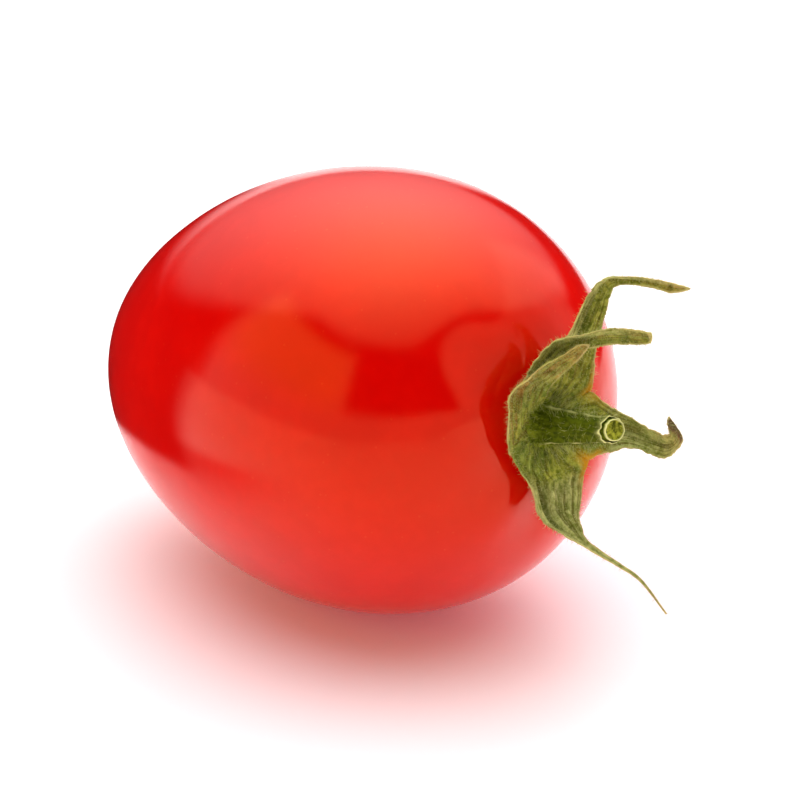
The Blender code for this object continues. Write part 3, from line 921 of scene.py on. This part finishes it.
# %% The stem's outline
# Each point: radius and rise in mm, then how pale it is and how much of the pith it is.
STEM_OUTLINE = [
    (1.85, 0.70, 0.0, 0.0),
    (1.50, 0.98, 0.0, 0.0),
    (1.36, 1.60, 0.0, 0.0),
    (1.28, 2.60, 0.0, 0.0),
    (1.14, 3.80, 0.0, 0.0),
    (1.02, 5.10, 0.0, 0.0),
    (0.95, 6.10, 0.0, 0.0),
    (0.95, 6.70, 0.2, 0.0),
    (0.95, 6.84, 1.0, 0.0),
    (0.91, 6.86, 1.0, 0.0),
    (0.88, 6.75, 0.1, 0.0),
    (0.85, 6.58, 0.0, 0.2),
    (0.80, 6.60, 0.0, 0.2),
    (0.78, 6.95, 0.0, 0.0),
    (0.77, 7.10, 0.9, 0.0),
    (0.74, 7.16, 1.0, 0.0),
    (0.69, 7.14, 0.7, 0.0),
    (0.66, 7.04, 0.0, 1.0),
    (0.60, 6.94, 0.0, 1.0),
    (0.40, 6.90, 0.0, 1.0),
    (0.20, 6.92, 0.0, 1.0),
    (0.05, 6.94, 0.0, 1.0),
]
# The lean is how far the cut is moved up and to the side in mm, STEM_RISE is how far the cut is
# from the foot in mm, the cut's slope is the rise for each mm up and to the side, and the pale
# ribs are bearings in degrees.
STEM_LEAN = (0.4, -0.6)
STEM_RISE = 7.2
CUT_SLOPE = (-0.12, -0.26)
PALE_RIBS = (4, 138)
STEM_ROWS = 150
STEM_COLUMNS = 120
print("the stem's outline has", len(STEM_OUTLINE), "points")


# %% The stem
def stem_grid():
    """The outline round the axis, ribbed lengthwise, leaning a little and cut at a slant. Two
    of its ribs are pale."""
    outline = smooth_run(STEM_OUTLINE, STEM_ROWS)
    bearing = 2 * math.pi * np.arange(STEM_COLUMNS) / STEM_COLUMNS
    radius, rise, pale, pith = (outline[:, column : column + 1] for column in range(4))
    skin = 1 - ease(np.arange(STEM_ROWS)[:, None] / STEM_ROWS, 0.40, 0.46)
    ribs = 0.045 * np.cos(8 * bearing + 0.5) + 0.02 * np.cos(13 * bearing)
    circle = np.stack([np.cos(bearing), np.sin(bearing)], axis=-1)
    spots = np.concatenate([radius[..., None] * circle, rise[..., None] + 0 * circle[..., :1]], -1)
    rough = 0.06 * lattice_noise(spots, 0.5, 81) + 0.03 * lattice_noise(spots, 0.2, 82)
    torn = 0.10 * lattice_noise(6 * np.pad(circle, ((0, 0), (0, 1))), 1.6, 83)
    near_cut = ease(rise, 5.6, 6.7)
    radius = radius + ribs * skin + rough * np.minimum(radius, 1)
    rise = rise + torn * near_cut * (0.4 + skin)
    share = np.clip(rise / STEM_RISE, 0, 1) ** 1.5
    x, y = (STEM_LEAN[axis] * share + radius * circle[:, axis] for axis in range(2))
    slant = near_cut * radius * (circle @ np.array(CUT_SLOPE))
    broken = 0.5 + 0.5 * lattice_noise(spots, 0.7, 84)
    for rib_bearing in PALE_RIBS:
        away = (np.degrees(bearing) - rib_bearing + 180) % 360 - 180
        pale_rib = skin * bell(away, 4) * ease(rise, 0.8, 1.6)
        pale = np.maximum(pale, 0.8 * pale_rib * broken)
    root = 1 - ease(rise + 0.8 * radial_streaks(x, y), 0.7, 1.9)
    return np.stack([x, y, rise + slant], axis=-1), {"pale": pale, "pith": pith, "root": root}


def stem_finish():
    made, tree, shader = new_finish("green_stem")
    grain = leaf_grain(tree, 0.35 * MM, (30.0, 4.0, 1.0))
    colour = mix(tree, grain["Mottle"], (0.030, 0.048, 0.0005), (0.10, 0.135, 0.003))
    colour = layer(tree, colour, grain["Streaks"], 0.4, (0.14, 0.17, 0.008))
    root = mix(tree, grain["Mottle"], (0.10, 0.14, 0.003), (0.34, 0.40, 0.03))
    colour = layer(tree, colour, attribute(tree, "root"), 0.7, root)
    pith = mix(tree, grain["Mottle"], (0.06, 0.075, 0.002), (0.52, 0.54, 0.05))
    colour = mix(tree, attribute(tree, "pith"), colour, pith)
    looks = {
        "Base Color": mix(tree, attribute(tree, "pale"), colour, (0.82, 0.82, 0.32)),
        "Roughness": 0.6,
        "Normal": bump(tree, grain["Height"], 0.08 * MM, 0.8),
        "Specular IOR Level": 0.12,
        "Specular Tint": (1.0, 0.95, 0.4, 1.0),
    }
    fill_inputs(tree, shader, looks)
    return made


stem_local, stem_masks = stem_grid()
stem = in_world(stem_local * MM, CALYX_FOOT)
grid_piece("stem_stub", stem, stem_finish(), "stem", stem_masks)

# %% [markdown]
# ## Hairs
#
# Every green part of a tomato plant is hairy. Blender's hair would do, but it would not be part
# of the meshes, so each hair here is a small bent cone of three sides and ten faces. Hundreds
# of them are worked out at once, as one array, and joined into one piece for each part.


# %% Hairs as bent cones
HAIR_THICKNESS = 0.011 * MM
RINGS_ALONG = np.array([0.0, 0.4, 0.75])
RING_WIDTHS = np.array([1.0, 0.75, 0.45])


def hair_points(roots, directions, bends, lengths, thickness):
    """Three rings of three points and a tip for each hair: it starts along its direction and
    leans further into its bend with the square of the way along it."""
    helper = np.where(np.abs(directions[:, 2:]) < 0.9, [[0, 0, 1.0]], [[1.0, 0, 0]])
    first = unit(np.cross(directions, helper))
    second = np.cross(directions, first)
    ways = RINGS_ALONG[None, :, None]
    turns = 2 * math.pi * np.arange(3) / 3
    path = ways * directions[:, None] + ways**2 * bends[:, None]
    centre = roots[:, None] + lengths[:, None, None] * path
    ring = np.cos(turns)[:, None] * first[:, None] + np.sin(turns)[:, None] * second[:, None]
    width = thickness[:, None, None, None] * RING_WIDTHS[None, :, None, None]
    rings = centre[:, :, None] + width * ring[:, None]
    tip = roots + lengths[:, None] * (directions + bends)
    return np.concatenate([rings.reshape(len(roots), 9, 3), tip[:, None]], axis=1)


HAIR_QUADS = grid_corners(3, 3)
HAIR_TRIANGLES = np.array([(6, 7, 9), (7, 8, 9), (8, 6, 9), (2, 1, 0)])


def hair_piece(name, points, finish):
    """All the hairs in one mesh: the same ten faces for each, counted on from its first point."""
    start = (10 * np.arange(len(points)))[:, None, None]
    quads = (start + HAIR_QUADS).reshape(-1, 4)
    triangles = (start + HAIR_TRIANGLES).reshape(-1, 3)
    mesh = fill_mesh(name, points.reshape(-1, 3), [quads, triangles])
    return add_piece(mesh, finish)


def grow(grid, count, lengths, lean, seed, favour):
    """Hairs on a closed grid in world metres: roots drawn by area times favour, pointing along
    the normal and leaning by the lean vector, one for all or one for each point, and by chance."""
    rng = np.random.default_rng(seed)
    rows, columns = grid.shape[:2]
    lean = np.broadcast_to(lean, grid.shape).reshape(-1, 3)
    along = np.gradient(grid, axis=0)
    around = (np.roll(grid, -1, axis=1) - np.roll(grid, 1, axis=1)) / 2
    normal = np.cross(along, around)
    weight = np.linalg.norm(normal, axis=-1) * favour
    volume = signed_volume(grid.reshape(-1, 3), grid_corners(rows, columns))
    normal = unit(normal) * (-1 if volume > 0 else 1)
    picked = rng.choice(rows * columns, count, p=(weight / weight.sum()).reshape(-1))
    roots = grid.reshape(-1, 3)[picked]
    normals = normal.reshape(-1, 3)[picked]
    directions = unit(normals + 0.3 * rng.normal(size=(count, 3)) + lean[picked])
    sizes = rng.uniform(*lengths, count)
    bends = 0.15 * rng.normal(size=(count, 3))
    roots = roots - directions * 0.02 * MM
    thickness = HAIR_THICKNESS * rng.uniform(0.7, 1.3, count)
    return hair_points(roots, directions, bends, sizes, thickness)


def hair_finish():
    made, tree, shader = new_finish("pale_hair")
    patches = noise(tree, object_place(tree), 1.5 * MM)
    looks = {
        "Base Color": mix(tree, patches, (0.34, 0.38, 0.07), (0.72, 0.70, 0.30)),
        "Roughness": 0.45,
    }
    fill_inputs(tree, shader, looks)
    return made


# %% Grow the hairs
PALE_HAIR = hair_finish()
HAIRY_STEM_ROWS = 62
STEM_HAIRS = 450
SHORT_HAIRS = 1400
LONG_HAIRS = 70
stem_side = (np.arange(STEM_ROWS)[:, None] < HAIRY_STEM_ROWS) * np.ones((1, STEM_COLUMNS))
stem_hairs = grow(stem, STEM_HAIRS, (0.3 * MM, 1.1 * MM), 0.3 * STEMWARD, 91, stem_side)
hair_piece("stem_hairs", stem_hairs, PALE_HAIR)
for number, (name, (loop, favour, round_stem)) in enumerate(sepal_loops.items()):
    lengths = (0.08 * MM, 0.42 * MM)
    hairs = grow(loop, SHORT_HAIRS, lengths, 0.15 * STEMWARD, 100 + number, favour)
    outwards = loop - CALYX_FOOT
    outwards = unit(outwards - (outwards @ STEMWARD)[..., None] * STEMWARD)
    lengths = (0.5 * MM, 1.2 * MM)
    long_hairs = grow(loop, LONG_HAIRS, lengths, 1.6 * outwards, 120 + number, round_stem)
    hair_piece(name + "_hairs", np.concatenate([hairs, long_hairs]), PALE_HAIR)

# %% [markdown]
# ## The floor
#
# The fruit lies on a plain white board, and its shadow there is pale and rosy in the photograph.
# Another lamp could lighten the shadow, but it would change the gloss too, so the board's own
# material gives off a little rosy light. The board is a stage piece, just below the flat spot,
# and not part of the object.

# %% The floor
FLOOR_HALF_SIDE = 3.0
FLOOR_DROP = 0.02 * MM


def floor_finish():
    made, tree, shader = new_finish("white_board")
    patches = noise(tree, object_place(tree), 4 * MM)
    looks = {
        "Base Color": mix(tree, patches, (0.96, 0.90, 0.945), (0.97, 0.915, 0.955)),
        "Roughness": 0.4,
        "Emission Color": (1.0, 0.42, 0.45, 1.0),
        "Emission Strength": 0.12,
    }
    fill_inputs(tree, shader, looks)
    return made


def add_stage_piece(mesh, finish):
    """A piece that is not part of the object."""
    piece = bpy.data.objects.new(mesh.name, mesh)
    bpy.context.scene.collection.objects.link(piece)
    mesh.materials.append(finish)
    print(mesh.name, "on the stage")
    return piece


def make_floor():
    corners = FLOOR_HALF_SIDE * np.array([(-1, -1, 0), (1, -1, 0), (1, 1, 0), (-1, 1, 0)], float)
    corners[:, 2] = -FLOOR_DROP
    add_stage_piece(fill_mesh("floor", corners, [np.array([[0, 1, 2, 3]])]), floor_finish())


make_floor()

# %% [markdown]
# ## Cards round the fruit
#
# A photographer shapes a gloss with cards: black ones put a dark edge on a shiny thing, and
# coloured ones tint it. The skin's gloss has a dark zone at either side, and a rosy one below the
# left one. A real card would stand in the way of the lamp or the camera, so these are hidden
# from both and only the gloss sees them. Their sides fade out, as they would out of focus.

# %% Cards that only the gloss sees
# Each: distance from the fruit's middle and height of its lower edge, the same of its upper edge,
# all in mm, and from which bearing to which it goes, in degrees to the right of the camera.
CARDS = {
    "near_card": (28.7, 0, 28.7, 30, -72, -172),
    "far_card": (120, 0, 120, 50, 112, 172),
    "rose_card": (48, 0.2, 11, 0.2, -30, -150),
}
CAMERA_AZIMUTH = math.radians(46)
CARD_ROWS = 5
CARD_COLUMNS = 25


def card_finish(name, darkest, lightest, softness):
    """Solid in the middle and fading out over a share of the card, the softness, at its sides
    and its upper edge, and over less of it at its lower edge."""
    made, tree, shader = new_finish(name)
    share = place(tree, "ShaderNodeTexCoord").outputs["UV"]
    share = place(tree, "ShaderNodeSeparateXYZ", {"Vector": share}).outputs
    sides = calculate(tree, "PINGPONG", share["X"], 0.5)
    solid = remap(tree, sides, 0.0, softness / 2)
    solid = times(tree, solid, remap(tree, share["Y"], 1.0, 1.0 - softness))
    looks = {
        "Base Color": mix(tree, noise(tree, object_place(tree), 20 * MM), darkest, lightest),
        "Roughness": 0.9,
        "Alpha": times(tree, solid, remap(tree, share["Y"], 0.0, softness * 0.3)),
    }
    fill_inputs(tree, shader, looks)
    return made


def make_card(name, measures, finish):
    """A strip of a cone round the fruit's middle, hidden from the camera and from the light."""
    lower_distance, lower_rise, upper_distance, upper_rise, start, end = measures
    bearing = np.radians(np.linspace(start, end, CARD_COLUMNS)) + CAMERA_AZIMUTH
    distance = np.linspace(lower_distance, upper_distance, CARD_ROWS)[:, None] * MM
    rise = np.linspace(lower_rise, upper_rise, CARD_ROWS)[:, None] * MM + 0 * bearing
    x = MIDDLE[0] + distance * np.sin(bearing)
    y = MIDDLE[1] - distance * np.cos(bearing)
    points = np.stack([x, y, rise], axis=-1).reshape(-1, 3)
    quads = grid_corners(CARD_ROWS, CARD_COLUMNS, closed=False)
    row, column = np.divmod(quads.reshape(-1), CARD_COLUMNS)
    uvs = np.stack([column / (CARD_COLUMNS - 1), row / (CARD_ROWS - 1)], axis=-1)
    card = add_stage_piece(fill_mesh(name, points, [quads], uvs), finish)
    card.visible_camera = False
    card.visible_diffuse = False
    card.visible_shadow = False
    card.visible_transmission = False


BLACK_CARD = card_finish("black_card", (0.006, 0.004, 0.004), (0.010, 0.006, 0.006), 0.28)
ROSE_CARD = card_finish("rose_card", (0.50, 0.17, 0.17), (0.56, 0.21, 0.21), 0.8)
for name, measures in CARDS.items():
    make_card(name, measures, ROSE_CARD if name == "rose_card" else BLACK_CARD)

# %% [markdown]
# ## The tent and its lamp
#
# The fruit is in a tent of white cloth. Overhead and a little behind hangs a large soft lamp, and
# the front of the tent is open, which leaves the dark patch in the middle of the gloss. Area
# lamps and cloth planes could do this, but the world's colour can say all of it by direction: an
# even wall, warmer at the left and dimmer at the right, a lamp that fades like a bell curve with
# the angle from its middle, and an oval opening. The camera itself sees plain white.

# %% The tent and its lamp
LAMP_BRIGHTNESS = 3.6
LAMP_SPREAD = 46
LAMP_ELEVATION = 70
LAMP_EDGE_IN_FRONT = 50
WALL_COLOUR = (0.78, 0.75, 0.79)
WARM_WALL_COLOUR = (1.04, 0.96, 0.41)
RIGHT_WALL_COLOUR = (0.64, 0.52, 0.46)
WALL_LEFT, WALL_RIGHT, WALL_TOP = -103, 140, 43
OPENING_LEFT, OPENING_RIGHT = -30, 42
OPENING_LOW, OPENING_HIGH = 13, 49
NO_LIGHT = (0.0, 0.0, 0.0)
WHITE = (1.0, 1.0, 1.0)


def make_tent():
    """The world's colour by direction. Bearings are degrees to the right of the camera, heights
    are degrees above the horizon."""
    world = bpy.data.worlds.new("tent")
    bpy.context.scene.world = world
    world.use_nodes = True
    tree = world.node_tree
    tree.nodes.clear()
    way = place(tree, "ShaderNodeTexCoord").outputs["Generated"]
    sine, cosine = math.sin(CAMERA_AZIMUTH), math.cos(CAMERA_AZIMUTH)
    front = (sine, -cosine, 0.0)
    right = (cosine, sine, 0.0)
    level = math.cos(math.radians(LAMP_ELEVATION))
    lamp = (-sine * level, cosine * level, math.sin(math.radians(LAMP_ELEVATION)))

    def along(vector):
        inputs = {0: way, 1: vector}
        return place(tree, "ShaderNodeVectorMath", inputs, operation="DOT_PRODUCT").outputs["Value"]

    def degrees(operation, *values):
        return calculate(tree, "DEGREES", calculate(tree, operation, *values))

    def within(value, start, end, softness):
        rising = remap(tree, value, start - softness, start + softness)
        falling = remap(tree, value, end - softness, end + softness, 1.0, 0.0)
        return times(tree, rising, falling)

    bearing = degrees("ARCTAN2", along(right), along(front))
    height = degrees("ARCSINE", along((0.0, 0.0, 1.0)))
    share = calculate(tree, "DIVIDE", degrees("ARCCOSINE", along(lamp)), LAMP_SPREAD)
    fading = calculate(tree, "EXPONENT", times(tree, times(tree, share, share), -1.0))
    behind = remap(tree, calculate(tree, "ABSOLUTE", bearing), 65, 155, LAMP_EDGE_IN_FRONT, 0.0)
    overhead = remap(tree, calculate(tree, "SUBTRACT", height, behind), -5, 5)
    light = times(tree, overhead, times(tree, fading, LAMP_BRIGHTNESS))
    warm = within(bearing, WALL_LEFT, OPENING_LEFT, 10)
    warm = times(tree, warm, remap(tree, height, 5, 25))
    wall_colour = mix(tree, warm, WALL_COLOUR, WARM_WALL_COLOUR)
    wall_colour = mix(tree, remap(tree, bearing, 60, 90), wall_colour, RIGHT_WALL_COLOUR)
    wall_sides = within(bearing, WALL_LEFT, WALL_RIGHT, 5)
    wall = times(tree, wall_sides, within(height, -95, WALL_TOP, 4))
    light = mix(tree, 1.0, light, mix(tree, wall, NO_LIGHT, wall_colour), "ADD")
    opening_sides = within(bearing, OPENING_LEFT, OPENING_RIGHT, 4)
    opening = times(tree, opening_sides, within(height, OPENING_LOW, OPENING_HIGH, 3))
    light = mix(tree, opening, light, NO_LIGHT)
    seen = place(tree, "ShaderNodeLightPath").outputs["Is Camera Ray"]
    background = place(tree, "ShaderNodeBackground", {"Color": mix(tree, seen, light, WHITE)})
    place(tree, "ShaderNodeOutputWorld", {"Surface": background.outputs[0]})
    print("tent with", len(tree.nodes), "nodes")


make_tent()

# %% [markdown]
# ## The camera
#
# The camera's place was worked out from the fruit's outline: 25 degrees above the board, and 46
# degrees round from a side view towards the stem. The lens could be found by trial, but it
# follows from the distance and the width that the view takes in. The view transform is the
# plain one, so the colours come out as they are given. Light may be scattered twelve times on
# its way, because it goes to and fro between the fruit and the board that it lies on.

# %% The camera
CAMERA_ELEVATION = math.radians(25)
CAMERA_DISTANCE = 502 * MM
VIEW_WIDTH = 57.8 * MM
AIM_RIGHT = 3.86 * MM
AIM_DOWN = 1.18 * MM


def make_camera():
    """It looks past the fruit's middle, to the right and down, so that the calyx has room."""
    sine, cosine = math.sin(CAMERA_AZIMUTH), math.cos(CAMERA_AZIMUTH)
    right = np.array([cosine, sine, 0.0])
    level = math.cos(CAMERA_ELEVATION)
    back = np.array([sine * level, -cosine * level, math.sin(CAMERA_ELEVATION)])
    up = np.cross(back, right)
    aim = MIDDLE + AIM_RIGHT * right - AIM_DOWN * up
    data = bpy.data.cameras.new("camera")
    data.sensor_width = 36.0
    data.lens = data.sensor_width * CAMERA_DISTANCE / VIEW_WIDTH
    data.clip_start = 0.01
    data.clip_end = 20.0
    camera = bpy.data.objects.new("camera", data)
    bpy.context.scene.collection.objects.link(camera)
    camera.location = aim + CAMERA_DISTANCE * back
    camera.rotation_mode = "QUATERNION"
    camera.rotation_quaternion = Vector(-back).to_track_quat("-Z", "Y")
    bpy.context.scene.camera = camera
    print("lens", round(data.lens), "mm, camera at", in_mm(camera.location), "mm")


make_camera()
bpy.context.scene.view_settings.view_transform = "Standard"
bpy.context.scene.view_settings.look = "None"
bpy.context.scene.cycles.diffuse_bounces = 12
